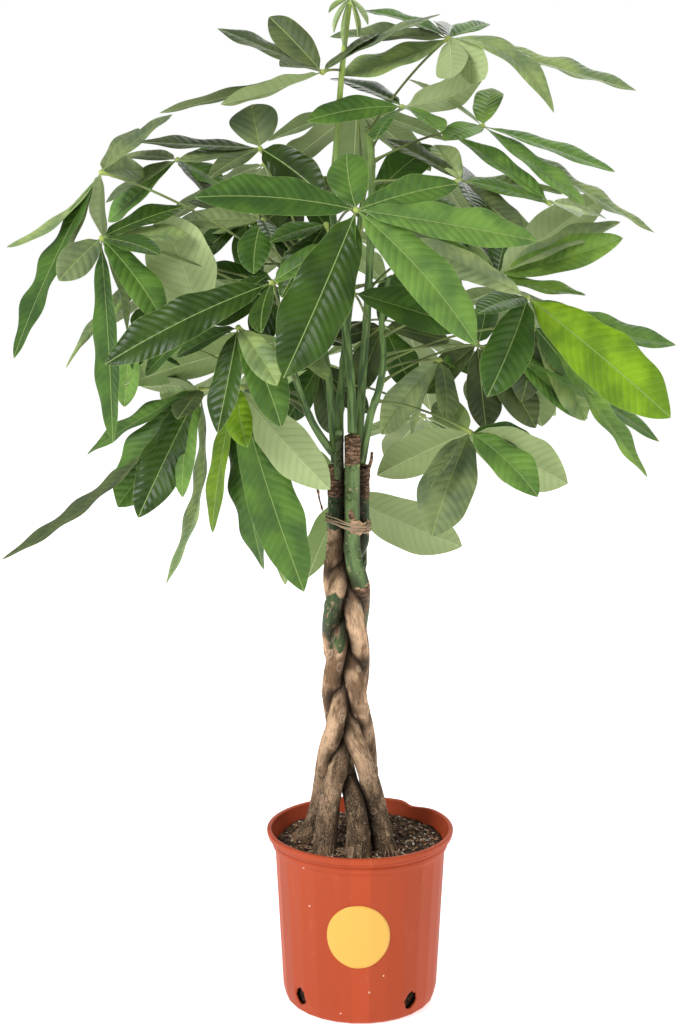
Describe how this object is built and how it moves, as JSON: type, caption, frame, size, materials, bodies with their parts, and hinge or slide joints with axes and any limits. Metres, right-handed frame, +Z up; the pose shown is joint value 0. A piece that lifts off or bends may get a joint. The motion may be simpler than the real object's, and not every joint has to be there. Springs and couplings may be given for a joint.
{
  "type": "potted money tree",
  "caption": "Braided-trunk money tree with glossy fingered leaves on long stalks, in a round tapered nursery pot.",
  "frame": {"origin": "centre of the pot's flat underside, on the surface it stands on", "axes": "+Z up along the stems, +X to the right and +Y to the back as seen in the picture"},
  "size_m": [0.7855, 0.5863, 1.1894],
  "materials": {
    "pot_plastic": "satin",
    "label": "satin",
    "soil": "matte",
    "bark": "matte",
    "twine": "matte",
    "foliage": "satin"
  },
  "bodies": {
    "root": {"pot": "pot_plastic", "label": "label", "soil": "soil", "trunk_back_left": "bark", "trunk_left": "bark", "trunk_centre": "bark", "trunk_back_right": "bark", "trunk_right": "bark", "tie": "twine", "leafy_shoot_leader": "foliage", "leafy_shoot_tall": "foliage", "leafy_shoot_low": "foliage", "leafy_shoot_left": "foliage", "leafy_shoot_back": "foliage"}
  },
  "joints": []
}
